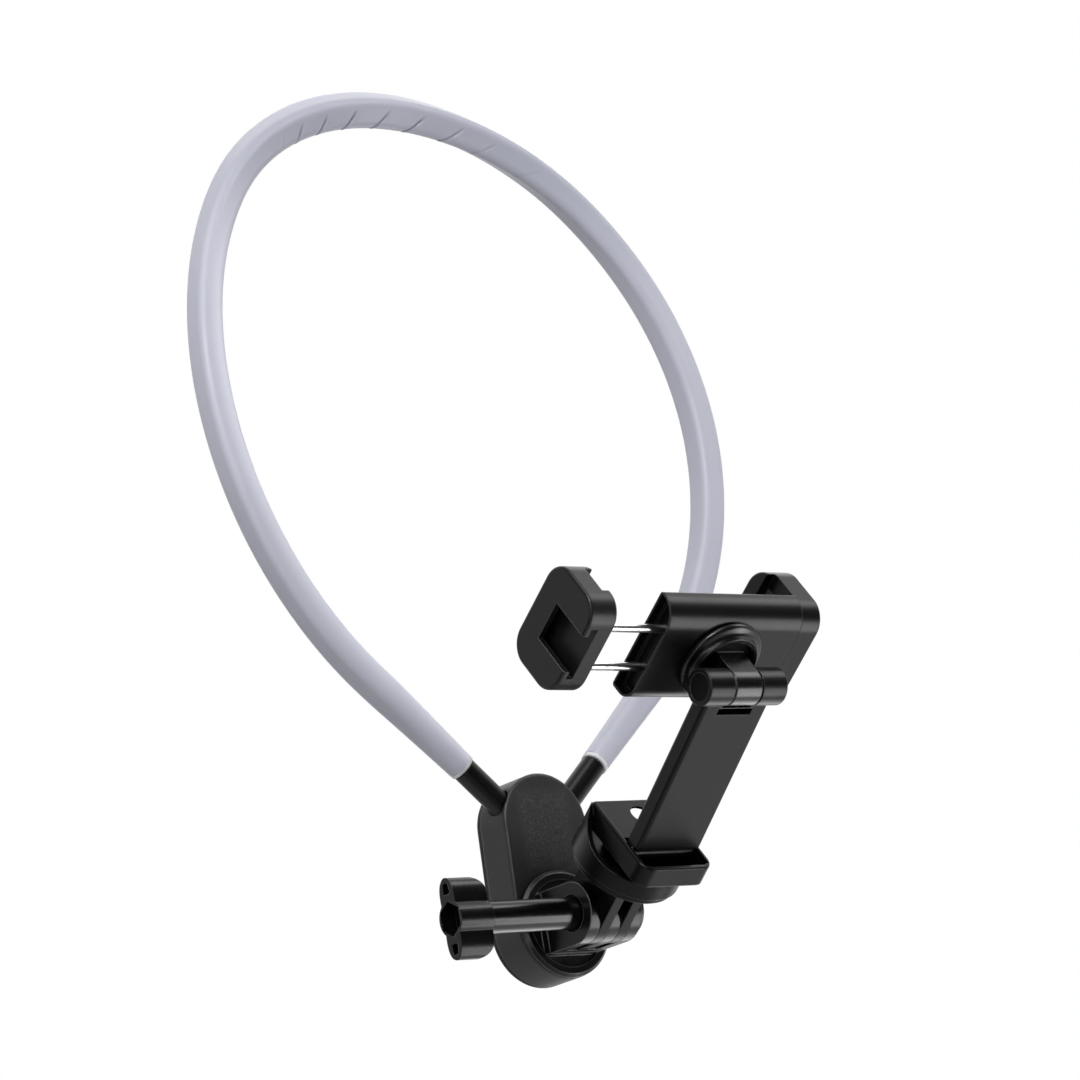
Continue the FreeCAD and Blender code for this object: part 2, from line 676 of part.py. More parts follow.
def tilt_bracket():
    gap = (FINGER_SLOT - BRACKET_FINGER_T) / 2
    inner = FINGER_T / 2 + gap
    top = FLANGE_BOTTOM + ROOT_BITE
    bracket = rod(FLANGE_R, dish_axis + Z_AXIS * FLANGE_BOTTOM, dish_axis + Z_AXIS * flange_top)
    lower = edges_where(bracket, lambda edge: flat_at(edge, 2, FLANGE_BOTTOM))
    bracket = bracket.makeChamfer(FLANGE_CHAMFER, lower)
    for side in (-1, 1):
        near = side * inner
        far = side * (inner + BRACKET_FINGER_T)
        flank = box(min(near, far), max(near, far), -KNUCKLE_R, KNUCKLE_R, 0, top)
        bracket = bracket.fuse(flank).fuse(rod(KNUCKLE_R, Vec(near, 0, 0), Vec(far, 0, 0)))
    boss = rod(PIVOT_SCREW_HEAD_R, dish_axis + Z_AXIS * (FLANGE_BOTTOM - BLOCK_H), dish_axis + Z_AXIS * top)
    bracket = bracket.fuse(boss)
    web = inner + BRACKET_FINGER_T
    bracket = bracket.fuse(box(-web, web, -KNUCKLE_R, KNUCKLE_R, FLANGE_BOTTOM - BLOCK_H, top))
    bracket = bracket.cut(rod(BOLT_R + RUN_FIT, Vec(-bolt_reach, 0, 0), Vec(bolt_reach, 0, 0)))
    screw_hole = rod(PIVOT_SCREW_R + THREAD_FIT, dish_axis + Z_AXIS * flange_top,
                     dish_axis + Z_AXIS * (flange_top - PIVOT_SCREW_GRIP - HOLE_SPARE))
    return bracket.cut(screw_hole).removeSplitter()


def tray_outline(inset, z):
    x = tray_half_x - inset
    front = -TRAY_FRONT + inset
    back = TRAY_BACK - inset
    points = [Vec(x, back, z), Vec(-x, back, z), Vec(-x, front, z), Vec(x, front, z)]
    front_r = TRAY_CORNER_R - inset
    return polygon_wire(points, [TRAY_BACK_CORNER_R, TRAY_BACK_CORNER_R, front_r, front_r])


def fairing():
    """The dish's wall on each side, climbing to the tray's back corners."""
    low = Vec(-DISH_R, FAIRING_FRONT, dish_top)
    high = Vec(-DISH_R, FAIRING_TOP, tray_top - TRAY_EDGE_R)
    run = high.y - low.y
    rise = high.z - low.z
    sweep_r = (run * run + rise * rise) / (2 * rise)
    half_turn = math.atan2(rise, run)
    middle = low + Vec(0, sweep_r * math.sin(half_turn), sweep_r * (1 - math.cos(half_turn)))
    corner = Vec(-DISH_R, TRAY_BACK, dish_floor)
    foot = Vec(-DISH_R, FAIRING_FRONT, dish_floor)
    straight = Part.makePolygon([high, Vec(-DISH_R, TRAY_BACK, high.z), corner, foot, low]).Edges
    outline = Part.Wire(Part.Arc(low, middle, high).toShape().Edges + straight)
    web = Part.Face(outline).extrude(X_AXIS * (2 * DISH_R))
    web = web.common(rod(DISH_R, dish_axis + Z_AXIS * dish_floor, dish_axis + Z_AXIS * tray_top))
    web = web.cut(rod(DISH_R - DISH_WALL, dish_axis + Z_AXIS * dish_floor, dish_axis + Z_AXIS * tray_top))
    inner = tray_half_x - TRAY_WALL
    return web.cut(box(-inner, inner, FAIRING_FRONT, TRAY_BACK, dish_floor, tray_top))


def tray():
    """Tray with an open back, moulded in one with the round dish that turns on the flange."""
    block = Part.Face(tray_outline(0, TRAY_BOTTOM)).extrude(Z_AXIS * TRAY_H)
    rim = edges_where(block, lambda edge: flat_at(edge, 2, tray_top))
    block = block.makeFillet(TRAY_EDGE_R, rim)
    inner_x = tray_half_x - TRAY_WALL
    bulkhead = ARM_FORWARD - ARM_SLOT_BACK - TRAY_WALL
    block = block.cut(box(-inner_x, inner_x, -bulkhead, TRAY_BACK, TRAY_BOTTOM + TRAY_FLOOR, tray_top - TRAY_PLATE))
    pocket_x = ARM_HALF_X + FACE_GAP
    block = block.cut(box(-pocket_x, pocket_x, -ARM_FORWARD - ARM_SLOT_FRONT, -ARM_FORWARD + ARM_SLOT_BACK,
                          TRAY_BOTTOM + TRAY_FLOOR, tray_top))
    block = block.cut(box(-inner_x, inner_x, TRAY_FLOOR_BACK, TRAY_BACK, TRAY_BOTTOM, tray_top - TRAY_PLATE))
    recess = Part.Face(tray_outline(TRAY_RIM_W, tray_top - TRAY_RIM)).extrude(Z_AXIS * TRAY_RIM)
    rim_x = tray_half_x - TRAY_RIM_W
    recess = recess.fuse(box(-rim_x, rim_x, 0, TRAY_BACK, tray_top - TRAY_RIM, tray_top))
    block = block.cut(recess)
    dish = rod(DISH_R, dish_axis + Z_AXIS * dish_bottom, dish_axis + Z_AXIS * dish_top)
    dish_rim = edges_where(dish, lambda edge: flat_at(edge, 2, dish_top))
    dish = dish.makeFillet(DISH_EDGE_R, dish_rim)
    dish = dish.cut(rod(DISH_R - DISH_WALL, dish_axis + Z_AXIS * dish_floor, dish_axis + Z_AXIS * dish_top))
    stem = rod(TRAY_STEM_R, dish_axis + Z_AXIS * dish_bottom, dish_axis + Z_AXIS * (TRAY_BOTTOM + TRAY_FLOOR))
    moulding = block.fuse(dish).fuse(stem).fuse(fairing())
    moulding = moulding.cut(rod(PIVOT_SCREW_R + RUN_FIT, dish_axis, dish_axis + Z_AXIS * dish_floor))
    moulding = moulding.cut(rod(PIVOT_SCREW_HEAD_R + HEAD_CLEAR, dish_axis + Z_AXIS * dish_floor,
                                dish_axis + Z_AXIS * (tray_top - TRAY_PLATE)))
    gate = DISH_R + DISH_FORWARD
    moulding = moulding.cut(box(DISH_GATE_LEFT, DISH_GATE_RIGHT, TRAY_STEM_R, gate, dish_floor, dish_top))
    hole = Vec(TRAY_HOLE_X, TRAY_HOLE_BACK, 0)
    moulding = moulding.cut(rod(TRAY_HOLE_R, hole + Z_AXIS * (tray_top - 2 * TRAY_PLATE), hole + Z_AXIS * tray_top))
    pin = Vec(tray_half_x - ARM_PIN_COVER, -ARM_FORWARD, ARM_HINGE_RISE)
    moulding = moulding.cut(rod(ARM_PIN_R + THREAD_FIT, pin, Vec(-pin.x, pin.y, pin.z)))
    return moulding.removeSplitter()


def tray_pivot_screw():
    seat = dish_floor + FACE_GAP
    head = rod(PIVOT_SCREW_HEAD_R, dish_axis + Z_AXIS * seat, dish_axis + Z_AXIS * (seat + PIVOT_SCREW_HEAD_H))
    rim = edges_where(head, lambda edge: flat_at(edge, 2, seat + PIVOT_SCREW_HEAD_H))
    head = head.makeFillet(PIVOT_SCREW_ROUND, rim)
    shank = rod(PIVOT_SCREW_R, dish_axis + Z_AXIS * (flange_top - PIVOT_SCREW_GRIP), dish_axis + Z_AXIS * seat)
    return head.fuse(shank).removeSplitter()


def arm_hinge_pin():
    reach = tray_half_x - ARM_PIN_COVER - THREAD_FIT
    return rod(ARM_PIN_R, Vec(-reach, -ARM_FORWARD, ARM_HINGE_RISE), Vec(reach, -ARM_FORWARD, ARM_HINGE_RISE))


def barrel_length(x0, x1, z):
    """Part of the barrel with a small chamfer at both ends."""
    body = rod(BARREL_R, Vec(x0, 0, z), Vec(x1, 0, z))
    return body.makeChamfer(BARREL_EDGE, edges_where(body, lambda edge: len(edge.Vertexes) == 1))


def arm():
    """Flat link: a shouldered foot on the tray's pin and two barrel knuckles at its top."""
    half_t = ARM_T / 2
    plate = box(-ARM_HALF_X, ARM_HALF_X, -half_t, half_t, 0, ARM_REACH)
    long_edges = edges_where(plate, lambda edge: edge.BoundBox.ZLength > ARM_T)
    plate = plate.makeFillet(ARM_EDGE_R, long_edges)
    link = plate.fuse(rod(half_t, X_AXIS * -ARM_HALF_X, X_AXIS * ARM_HALF_X))
    link = link.cut(box(-ARM_HALF_X, ARM_HALF_X, -half_t, -ARM_FOOT_FRONT, -half_t, ARM_SHOULDER))
    link = link.fuse(rod(ARM_FOOT_R, X_AXIS * -ARM_HALF_X, X_AXIS * ARM_HALF_X))
    barrel = Vec(0, 0, ARM_REACH)
    link = link.fuse(barrel_length(-BARREL_HALF, BARREL_HALF, ARM_REACH))
    gap = BARREL_MIDDLE + BARREL_SEAM
    link = link.cut(rod(BARREL_R + SWING_GAP, barrel - X_AXIS * gap, barrel + X_AXIS * gap))
    notch_x = gap + ARM_NOTCH_SIDE
    notch_low = ARM_REACH - BARREL_R - ARM_NOTCH
    link = link.cut(box(-notch_x, notch_x, -half_t, half_t, notch_low, ARM_REACH - BARREL_R))
    link = link.cut(rod(BARREL_PIN_R + THREAD_FIT, barrel - X_AXIS * BARREL_HALF, barrel + X_AXIS * BARREL_HALF))
    for side in (-1, 1):
        mouth = barrel + X_AXIS * (side * BARREL_HALF)
        link = link.cut(rod(BARREL_CAP_R + THREAD_FIT, mouth, mouth - X_AXIS * (side * BARREL_CAP_T)))
    return link.cut(rod(ARM_PIN_R + RUN_FIT, X_AXIS * -ARM_HALF_X, X_AXIS * ARM_HALF_X)).removeSplitter()


def barrel_pin():
    reach = BARREL_HALF - BARREL_CAP_T
    return rod(BARREL_PIN_R, Vec(-reach, 0, ARM_REACH), Vec(reach, 0, ARM_REACH))


def barrel_caps():
    caps = []
    for side in (-1, 1):
        face = Vec(side * (BARREL_HALF - BARREL_CAP_SUNK), 0, ARM_REACH)
        inner = Vec(side * (BARREL_HALF - BARREL_CAP_T), 0, ARM_REACH)
        caps.append(rod(BARREL_CAP_R, inner, face))
    return Part.makeCompound(caps)


def swivel_head():
    """Middle knuckle with a tongue that runs into the turned swivel disc."""
    head = barrel_length(-BARREL_MIDDLE, BARREL_MIDDLE, 0)
    back = clamp_front_y - FACE_GAP
    crown = back - SWIVEL_H
    floor = back - SWIVEL_FLOOR_H
    ring_r = SWIVEL_STEP_R - SWIVEL_RING
    profile = [
        (0, back, 0),
        (SWIVEL_R, back, SWIVEL_SMALL_R),
        (SWIVEL_R, back - SWIVEL_RIM_H, SWIVEL_EDGE_R),
        (SWIVEL_NECK_R, back - SWIVEL_NECK_H, SWIVEL_NECK_ROUND),
        (SWIVEL_STEP_R, crown, SWIVEL_SMALL_R),
        (ring_r, crown, SWIVEL_SMALL_R),
        (ring_r, floor, 0),
        (0, floor, 0),
    ]
    centre = Vec(0, 0, CLAMP_RISE)
    points = [centre + Vec(radius, y, 0) for radius, y, corner in profile]
    outline = polygon_wire(points, [corner for radius, y, corner in profile])
    disc = Part.Face(outline).revolve(centre, Y_AXIS, 360)
    tongue = box(-BARREL_MIDDLE, BARREL_MIDDLE, 0, floor + ROOT_BITE, -TONGUE_DROP, BARREL_R)
    end = clamp_front_y + CLAMP_WALL + FACE_GAP
    hub = rod(SWIVEL_HUB_R, centre + Y_AXIS * floor, centre + Y_AXIS * end)
    head = head.fuse(tongue).fuse(disc).fuse(hub)
    head = head.cut(rod(BARREL_PIN_R + RUN_FIT, X_AXIS * -BARREL_MIDDLE, X_AXIS * BARREL_MIDDLE))
    screw_end = end - SWIVEL_SCREW_LENGTH - HOLE_SPARE
    head = head.cut(rod(SWIVEL_SCREW_R + THREAD_FIT, centre + Y_AXIS * end, centre + Y_AXIS * screw_end))
    return head.removeSplitter()


def swivel_washer():
    seat = Vec(0, clamp_front_y + CLAMP_WALL + FACE_GAP, CLAMP_RISE)
    disc = rod(SWIVEL_WASHER_R, seat, seat + Y_AXIS * SWIVEL_WASHER_T)
    return disc.cut(rod(SWIVEL_SCREW_R + THREAD_FIT, seat, seat + Y_AXIS * SWIVEL_WASHER_T))


def swivel_screw():
    seat = Vec(0, clamp_front_y + CLAMP_WALL + FACE_GAP + SWIVEL_WASHER_T, CLAMP_RISE)
    head = rod(SWIVEL_HEAD_R, seat, seat + Y_AXIS * SWIVEL_HEAD_H)
    return head.fuse(rod(SWIVEL_SCREW_R, seat, seat - Y_AXIS * (SWIVEL_SCREW_LENGTH + SWIVEL_WASHER_T))).removeSplitter()


def clamp_section(inset, x):
    front = clamp_front_y + inset
    back = clamp_back_y - inset
    top = CLAMP_RISE + CLAMP_HALF_Z - inset
    low = CLAMP_RISE - CLAMP_HALF_Z + inset
    points = [Vec(x, back, top), Vec(x, front, top), Vec(x, front, low), Vec(x, back, low)]
    back_r = CLAMP_BACK_R if inset == 0 else CLAMP_INNER_R
    radii = [back_r, CLAMP_TOP_R - inset, CLAMP_LOW_R - inset, back_r]
    return Part.Face(polygon_wire(points, radii))


def clamp_body():
    """Curved shell, open at both ends for the rod guide and the fixed jaw's plug."""
    sweep = X_AXIS * (2 * CLAMP_HALF_X)
    shell = clamp_section(0, -CLAMP_HALF_X).extrude(sweep)
    shell = shell.cut(clamp_section(CLAMP_WALL, -CLAMP_HALF_X).extrude(sweep))
    shell = shell.cut(clamp_section(CLAMP_MOUTH_WALL, -CLAMP_HALF_X).extrude(X_AXIS * CLAMP_MOUTH_DEPTH))
    centre = Vec(0, clamp_front_y, CLAMP_RISE)
    return shell.cut(rod(SWIVEL_HUB_R + RUN_FIT, centre - Y_AXIS, centre + Y_AXIS * CLAMP_T / 2))


def rod_places():
    return [CLAMP_RISE - ROD_SPREAD, CLAMP_RISE + ROD_SPREAD]


def rod_guide():
    block = clamp_section(CLAMP_WALL + THREAD_FIT, guide_start_x).extrude(X_AXIS * GUIDE_LENGTH)
    for z in rod_places():
        start = Vec(guide_start_x - CUT_PAST, rod_y, z)
        block = block.cut(rod(ROD_R + RUN_FIT, start, start + X_AXIS * (GUIDE_LENGTH + 2 * CUT_PAST)))
    return block


def jaw_prism(x0, x1, front):
    top = CLAMP_RISE + JAW_HALF_Z
    low = CLAMP_RISE - JAW_HALF_Z
    points = [Vec(x0, jaw_back_y, top), Vec(x0, front, top), Vec(x0, front, low), Vec(x0, jaw_back_y, low)]
    prism = rounded_prism(points, [JAW_CORNER_R] * 4, X_AXIS * (x1 - x0))
    rims = edges_where(prism, lambda edge: flat_at(edge, 0, x0) or flat_at(edge, 0, x1))
    return prism.makeFillet(JAW_EDGE_R, rims)


def moving_jaw():
    """Block with a grip channel on its inner face and a T-slot shoe in its outer face."""
    jaw = jaw_prism(jaw_outer_x, jaw_inner_x, jaw_front_y)
    grip_back = clamp_back_y + GRIP_WIDTH
    jaw = jaw.cut(box(jaw_inner_x - GRIP_DEPTH, jaw_inner_x + CUT_PAST, clamp_back_y, grip_back, -past_jaw, past_jaw))
    blind = clamp_back_y + SHOE_BACK
    mouth = jaw_front_y - CUT_PAST
    lip_x = jaw_outer_x + SHOE_LIP
    half = SHOE_WINDOW / 2
    jaw = jaw.cut(box(jaw_outer_x - CUT_PAST, lip_x, mouth, blind, CLAMP_RISE - half, CLAMP_RISE + half))
    wide = SHOE_SLOT / 2
    jaw = jaw.cut(box(lip_x, lip_x + SHOE_SLOT_H, mouth, blind + wide - half, CLAMP_RISE - wide, CLAMP_RISE + wide))
    for z in rod_places():
        start = Vec(jaw_inner_x - ROD_ANCHOR, rod_y, z)
        jaw = jaw.cut(rod(ROD_R + THREAD_FIT, start, start + X_AXIS * (ROD_ANCHOR + CUT_PAST)))
    return jaw.removeSplitter()


def grip_pad(x0, x1):
    y0 = clamp_back_y + PAD_INSET
    y1 = clamp_back_y + GRIP_WIDTH - PAD_INSET
    return box(x0, x1, y0, y1, CLAMP_RISE - PAD_HALF_Z, CLAMP_RISE + PAD_HALF_Z)


def moving_jaw_pad():
    seat = jaw_inner_x - GRIP_DEPTH
    return grip_pad(seat, seat + PAD_T)


def fixed_jaw():
    """End block with a plug in the shell's right end and a lip over the grip."""
    seam = CLAMP_HALF_X
    jaw = jaw_prism(seam - FIXED_LIP, seam + FIXED_JAW_T, clamp_front_y)
    jaw = jaw.cut(box(seam - FIXED_LIP - CUT_PAST, seam, 0, clamp_back_y + GRIP_WIDTH, -past_jaw, past_jaw))
    jaw = jaw.cut(grip_pad(seam, seam + PAD_T))
    plug = clamp_section(CLAMP_WALL + THREAD_FIT, seam - PLUG_LENGTH).extrude(X_AXIS * (PLUG_LENGTH + PLUG_BITE))
    return jaw.fuse(plug).removeSplitter()


def fixed_jaw_pad():
    return grip_pad(CLAMP_HALF_X, CLAMP_HALF_X + PAD_T)


def back_pad():
    return box(-BACK_PAD_HALF_X, BACK_PAD_HALF_X, clamp_back_y, clamp_back_y + BACK_PAD_T,
               CLAMP_RISE - BACK_PAD_HALF_Z, CLAMP_RISE + BACK_PAD_HALF_Z)


def guide_rods():
    start = jaw_inner_x - ROD_ANCHOR
    return Part.makeCompound([rod(ROD_R, Vec(start, rod_y, z), Vec(ROD_END_X, rod_y, z)) for z in rod_places()])


def rod_stops():
    stops = []
    for z in rod_places():
        collar = rod(STOP_R, Vec(ROD_END_X - STOP_T, rod_y, z), Vec(ROD_END_X, rod_y, z))
        stops.append(collar.cut(rod(ROD_R + THREAD_FIT, Vec(0, rod_y, z), Vec(ROD_END_X, rod_y, z))))
    return Part.makeCompound(stops)


def return_springs():
    """Compression springs on the rods, between the guide block and the end stops."""
    length = ROD_END_X - STOP_T - guide_end_x - 2 * FACE_GAP - SPRING_WIRE
    springs = []
    for z in rod_places():
        helix = Part.makeHelix(length / SPRING_TURNS, length, SPRING_R)
        half = SPRING_WIRE / 2
        corners = [Vec(SPRING_R + sx * half, 0, sz * half) for sx, sz in ((1, 1), (-1, 1), (-1, -1), (1, -1))]
        section = Part.makePolygon(corners + corners[:1])
        coil = Part.Wire(helix.Edges).makePipeShell([section], True, True)
        coil.rotate(Vec(0, 0, 0), Y_AXIS, 90)
        coil.translate(Vec(guide_end_x + FACE_GAP + half, rod_y, z))
        springs.append(coil)
    return Part.makeCompound(springs)


GROUPS = [
    (housing_frame, {
        "housing_front_shell": housing_front_shell,
        "housing_back_cover": housing_back_cover,
        "cover_screws": cover_screws,
        "band_sleeve": band_sleeve,
        "gooseneck_core": gooseneck_core,
        "right_ferrule": ferrule,
        "left_ferrule": lambda: mirrored(ferrule()),
        "turntable": turntable,
        "turntable_washer": turntable_washer,
        "turntable_screw": turntable_screw,
        "captive_nut": captive_nut,
    }),
    (screw_frame, {
        "thumb_knob": thumb_knob,
        "thumb_bolt": thumb_bolt,
    }),
    (tilt_frame, {
        "tilt_bracket": tilt_bracket,
        "tray": tray,
        "tray_pivot_screw": tray_pivot_screw,
        "arm_hinge_pin": arm_hinge_pin,
    }),
    (arm_frame, {
        "arm": arm,
        "barrel_pin": barrel_pin,
        "barrel_caps": barrel_caps,
    }),
    (clamp_frame, {
        "swivel_head": swivel_head,
        "swivel_washer": swivel_washer,
        "swivel_screw": swivel_screw,
    }),
    (grip_frame, {
        "clamp_body": clamp_body,
        "rod_guide": rod_guide,
        "fixed_jaw": fixed_jaw,
        "fixed_jaw_pad": fixed_jaw_pad,
        "back_pad": back_pad,
        "moving_jaw": moving_jaw,
        "moving_jaw_pad": moving_jaw_pad,
        "guide_rods": guide_rods,
        "rod_stops": rod_stops,
        "return_springs": return_springs,
    }),
]

os.makedirs("parts", exist_ok=True)
for frame, nodes in GROUPS:
    for name, make in nodes.items():
        shape = make()
        shape.Placement = frame.multiply(shape.Placement)
        shape.exportStep("parts/" + name + ".step")
        print(name, len(shape.Solids), shape.isValid(), round(shape.Volume, 1))
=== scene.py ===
import math

import bmesh
import bpy
from mathutils import Matrix, Vector


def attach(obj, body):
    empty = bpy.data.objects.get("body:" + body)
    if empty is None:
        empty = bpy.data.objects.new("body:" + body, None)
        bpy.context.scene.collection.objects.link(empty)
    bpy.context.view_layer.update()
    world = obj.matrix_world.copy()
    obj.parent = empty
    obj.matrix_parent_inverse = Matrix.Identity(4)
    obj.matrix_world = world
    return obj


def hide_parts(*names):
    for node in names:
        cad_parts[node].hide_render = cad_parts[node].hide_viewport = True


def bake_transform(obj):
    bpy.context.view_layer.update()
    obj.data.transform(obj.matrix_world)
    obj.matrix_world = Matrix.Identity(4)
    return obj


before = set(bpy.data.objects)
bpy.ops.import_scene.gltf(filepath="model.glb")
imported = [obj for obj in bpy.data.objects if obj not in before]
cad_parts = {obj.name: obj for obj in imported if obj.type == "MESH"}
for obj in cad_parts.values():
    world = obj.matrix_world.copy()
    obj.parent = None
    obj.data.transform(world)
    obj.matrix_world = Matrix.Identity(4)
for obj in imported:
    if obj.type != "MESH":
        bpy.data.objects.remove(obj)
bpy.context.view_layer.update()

# Chest housing: an egg-shaped box moulded in black nylon, with a finely grained front,
# closed at the back by a flat cover that rests on the chest and four countersunk screws.


class Wire:
    """An output socket of a finish, which can be used in a sum."""

    def __init__(self, tree, socket):
        self.tree = tree
        self.socket = socket

    def add(self, kind, settings=None, sockets=None, out=0):
        """Puts in one node: its settings first, then what its sockets hold or what feeds them."""
        node = self.tree.nodes.new("ShaderNode" + kind)
        for name, value in (settings or {}).items():
            setattr(node, name, value)
        for name, value in (sockets or {}).items():
            if isinstance(value, Wire):
                self.tree.links.new(value.socket, node.inputs[name])
            else:
                node.inputs[name].default_value = value
        return Wire(self.tree, node.outputs[out]) if node.outputs else None

    def beside(self, name):
        """Another output of the same node."""
        return Wire(self.tree, self.socket.node.outputs[name])

    def work(self, operation, first, second=0.0):
        return self.add("Math", {"operation": operation}, {0: first, 1: second})

    def __add__(self, other):
        return self.work("ADD", self, other)

    def __sub__(self, other):
        return self.work("SUBTRACT", self, other)

    def __rsub__(self, other):
        return self.work("SUBTRACT", other, self)

    def __mul__(self, other):
        return self.work("MULTIPLY", self, other)

    __radd__ = __add__

    def noise(self, scale, detail=2.0):
        return self.add("TexNoise", None, {"Vector": self, "Scale": scale, "Detail": detail})

    def between(self, low, high):
        """0 below low and 1 above high, with a soft step between them."""
        return self.add("MapRange", {"interpolation_type": "SMOOTHSTEP"},
                        {"Value": self, "From Min": low, "From Max": high})

    def tint(self, under, over):
        """A colour that goes from under to over with this value; under may be made by nodes."""
        first = under if isinstance(under, Wire) else (*under, 1)
        return self.add("Mix", {"data_type": "RGBA"}, {0: self, 6: first, 7: (*over, 1)}, 2)


def start_finish(name):
    """A new material, and its Object coordinates as the first socket of its tree."""
    material = bpy.data.materials.new(name)
    material.use_nodes = True
    tree = material.node_tree
    tree.nodes.clear()
    return material, Wire(tree, tree.nodes.new("ShaderNodeTexCoord").outputs["Object"])


def close_finish(place, sockets):
    skin = place.add("BsdfPrincipled", None, sockets)
    place.add("OutputMaterial", None, {"Surface": skin})


ray_samples = 6
edge_bend = (0.01, 0.25)


def edge_share(place, corner):
    """The rounded normal near sharp edges, and a mask of how near the edge is."""
    rounded = place.add("Bevel", {"samples": ray_samples}, {"Radius": corner})
    flat = place.add("NewGeometry", None, None, 1)
    turn = place.add("VectorMath", {"operation": "DOT_PRODUCT"}, {0: rounded, 1: flat}, 1)
    return rounded, (1 - turn).between(*edge_bend)


patch_border = (0.8, 1.15)
dot_scale = 2300
dot_edges = (0.42, 0.7)
dot_strength = 0.6
dot_colour = (0.06, 0.06, 0.062)


def dotted_patch(place, middle, half_size):
    """A mask of fine dots in a panel, by its middle and half its size, seen from the front."""
    away = place.add("VectorMath", {"operation": "SUBTRACT"}, {0: place, 1: middle})
    away = place.add("VectorMath", {"operation": "DIVIDE"}, {0: away, 1: half_size})
    away = place.add("VectorMath", {"operation": "ABSOLUTE"}, {0: away})
    side = place.add("SeparateXYZ", None, {"Vector": away})
    inside = 1 - place.work("MAXIMUM", side, side.beside("Z")).between(*patch_border)
    return inside * place.noise(dot_scale, 0).between(*dot_edges)


cloud_scale = 45
grit_scale = 2600
speck_scale = 900
grain_depth = 0.0002
cloud_gloss = 0.10
grit_gloss = 0.03
edge_gloss = 0.06
edge_gain = 22
# The painted shade mixed into nooks: a matte black skin.
painted_shade_colour = (0.001, 0.001, 0.001, 1)
painted_shade_rough = 0.9
painted_shade_shine = 0.05


def moulded_nylon(name, dark, light, rough, grain=0.06, corner=0.0004, shine=0.45, edge_highlight=0.8,
                  patch=None, shelter=(0.008, 0.12, 0.5)):
    """Black nylon: fine spark-eroded grain, cloudy gloss, glossier edges lightened by a painted
    highlight.

    shelter is how far a nook looks for cover, and how open it is where painted shade makes it
    black and where it is left lit.
    """
    material, place = start_finish(name)
    rounded, edge = edge_share(place, corner)
    cloud = place.noise(cloud_scale, 3)
    grit = place.noise(grit_scale, 2)
    speck = place.noise(speck_scale, 1)
    # Edges are lightened towards a paler colour: a painted highlight along every sharp edge.
    edge_highlight_colour = tuple(level * edge_gain * max(edge_highlight, 1) for level in light)
    colour = (cloud * 0.7 + speck * 0.2).tint(dark, light)
    colour = (edge * edge_highlight).tint(colour, edge_highlight_colour)
    if patch:
        colour = (dotted_patch(place, *patch) * dot_strength).tint(colour, dot_colour)
    gloss = rough + (cloud - 0.5) * cloud_gloss + (grit - 0.5) * grit_gloss - edge * edge_gloss
    surface = place.add("Bump", None, {"Strength": grain, "Distance": grain_depth,
                                       "Height": grit + speck * 0.5, "Normal": rounded})
    skin = place.add("BsdfPrincipled", None, {"Base Color": colour, "Roughness": gloss,
                                              "Normal": surface, "Specular IOR Level": shine})
    # Painted shade: where little open air reaches, a matte black skin is mixed over the nylon.
    painted_shade = place.add("BsdfPrincipled", None, {"Base Color": painted_shade_colour, "Roughness": painted_shade_rough,
                                             "Specular IOR Level": painted_shade_shine})
    reach, black, lit = shelter
    open_air = place.add("AmbientOcclusion", {"samples": ray_samples}, {"Distance": reach}, 1)
    mixed = place.add("MixShader", None, {0: open_air.between(black, lit), 1: painted_shade, 2: skin})
    place.add("OutputMaterial", None, {"Surface": mixed})
    return material


def dress(material, *nodes):
    for node in nodes:
        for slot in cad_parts[node].material_slots:
            slot.material = material


housing_nylon = moulded_nylon(
    "housing_nylon", dark=(0.0030, 0.0030, 0.0030), light=(0.0077, 0.0077, 0.0079),
    rough=0.5, grain=0.16, corner=0.0010, shine=0.92, edge_highlight=0.0,
    patch=((0, 0, 0.018), (0.0095, 1, 0.0125)), shelter=(0.03, 0.35, 0.95))
cover_nylon = moulded_nylon(
    "cover_nylon", dark=(0.0035, 0.0035, 0.0035), light=(0.0083, 0.0083, 0.0085),
    rough=0.52, grain=0.3, edge_highlight=0.4)
dress(housing_nylon, "housing_front_shell")
dress(cover_nylon, "housing_back_cover")

steel_corner = 0.00015
steel_cloud_scale = 120
line_stretch = 30
line_depth = 0.0001
line_strength = 0.08


def drawn_steel(name, dark, light, rough, streak=900):
    """Bright steel with fine tool lines across its axis."""
    material, place = start_finish(name)
    rounded, edge = edge_share(place, steel_corner)
    along = place.add("Mapping", None,
                      {"Vector": place, "Scale": (streak, line_stretch, line_stretch)})
    lines = along.noise(1.0, 3)
    cloud = place.noise(steel_cloud_scale, 2)
    colour = (lines * 0.6 + edge * 0.4).tint(dark, light)
    gloss = rough + (lines - 0.5) * 0.12 + (cloud - 0.5) * 0.08
    surface = place.add("Bump", None, {"Strength": line_strength, "Distance": line_depth,
                                       "Height": lines, "Normal": rounded})
    close_finish(place, {"Base Color": colour, "Roughness": gloss, "Metallic": 1.0,
                         "Normal": surface})
    return material


screw_steel = drawn_steel("screw_steel", dark=(0.42, 0.42, 0.43), light=(0.66, 0.66, 0.67),
                          rough=0.26)
dress(screw_steel, "cover_screws")

# Neck band: a soft silicone sleeve over a bendable wire core, round where it meets the two
# turned ferrules and a rounded square elsewhere. It creases on the inside of its tight top bend.

core_wire = drawn_steel("core_wire", dark=(0.30, 0.30, 0.31), light=(0.5, 0.5, 0.51), rough=0.34)
ferrule_black = moulded_nylon(
    "ferrule_black", dark=(0.0012, 0.0012, 0.0012), light=(0.0030, 0.0030, 0.0031),
    rough=0.32, grain=0.01, corner=0.0003)
dress(ferrule_black, "left_ferrule", "right_ferrule")
dress(core_wire, "gooseneck_core")

